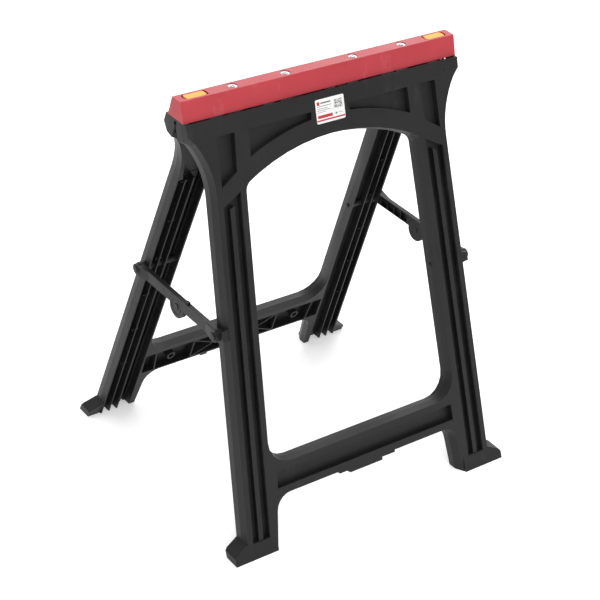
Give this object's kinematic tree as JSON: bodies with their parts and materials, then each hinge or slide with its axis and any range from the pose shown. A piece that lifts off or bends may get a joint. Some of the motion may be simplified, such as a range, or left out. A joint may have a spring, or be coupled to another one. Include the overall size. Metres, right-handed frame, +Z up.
{
  "type": "folding sawhorse",
  "caption": "Folding plastic sawhorse: two moulded leg frames hinged under a flat top beam with grip pads, held open by folding side braces.",
  "frame": {"origin": "on the floor, under the middle of the beam", "axes": "+X along the beam, +Y towards the rear leg frame, +Z up; rest pose is the open, standing one"},
  "size_m": [0.6296, 0.5592, 0.8],
  "materials": {
    "black_plastic": "satin moulded, lightly scuffed",
    "red_plastic": "fine moulded texture",
    "pad_orange": "soft, matte",
    "zinc": "zinc plated",
    "label_white": "printed film, satin"
  },
  "bodies": {
    "beam": {"top_beam": "red_plastic", "grip_pad_left": "pad_orange", "grip_pad_right": "pad_orange", "beam_screws": "zinc", "hinge_blocks": "black_plastic", "hinge_rod": "zinc", "rod_clips": "zinc"},
    "front_legs": {"front_leg_frame": "black_plastic", "label_plate": "label_white", "latch_clip": "black_plastic", "front_pivot_pin_left": "black_plastic", "front_pivot_pin_right": "black_plastic"},
    "rear_legs": {"rear_leg_frame": "black_plastic", "rear_pivot_pin_left": "black_plastic", "rear_pivot_pin_right": "black_plastic"},
    "front_link_left": {"front_link_left": "black_plastic", "knuckle_pin_left": "black_plastic"},
    "rear_link_left": {"rear_link_left": "black_plastic", "rear_pin_cap_left": "black_plastic"},
    "front_link_right": {"front_link_right": "black_plastic", "knuckle_pin_right": "black_plastic"},
    "rear_link_right": {"rear_link_right": "black_plastic", "rear_pin_cap_right": "black_plastic"}
  },
  "joints": [
    {"name": "front_legs_fold", "type": "hinge", "parent": "beam", "child": "front_legs", "pos_m": [0, 0, 0.756], "axis": [1, 0, 0], "range_deg": [0, 17.8]},
    {"name": "rear_legs_fold", "type": "hinge", "parent": "beam", "child": "rear_legs", "pos_m": [0, 0, 0.756], "axis": [1, 0, 0], "range_deg": [-17.8, 0]},
    {"name": "front_link_left_pivot", "type": "hinge", "parent": "front_legs", "child": "front_link_left", "pos_m": [-0.27489, -0.12788, 0.39858], "axis": [1, 0, 0], "range_deg": [0, 71.98]},
    {"name": "knuckle_left", "type": "hinge", "parent": "front_link_left", "child": "rear_link_left", "pos_m": [-0.27489, 0, 0.38658], "axis": [1, 0, 0], "range_deg": [-179.56, 0]},
    {"name": "front_link_right_pivot", "type": "hinge", "parent": "front_legs", "child": "front_link_right", "pos_m": [0.27489, -0.12788, 0.39858], "axis": [1, 0, 0], "range_deg": [0, 71.98]},
    {"name": "knuckle_right", "type": "hinge", "parent": "front_link_right", "child": "rear_link_right", "pos_m": [0.27489, 0, 0.38658], "axis": [1, 0, 0], "range_deg": [-179.56, 0]}
  ],
  "couplings": [
    {"joint": "rear_legs_fold", "follows": "front_legs_fold", "ratio": -1},
    {"joint": "front_link_left_pivot", "follows": "front_legs_fold", "ratio": 4.0436},
    {"joint": "knuckle_left", "follows": "front_legs_fold", "ratio": -10.087},
    {"joint": "front_link_right_pivot", "follows": "front_legs_fold", "ratio": 4.0436},
    {"joint": "knuckle_right", "follows": "front_legs_fold", "ratio": -10.087}
  ]
}
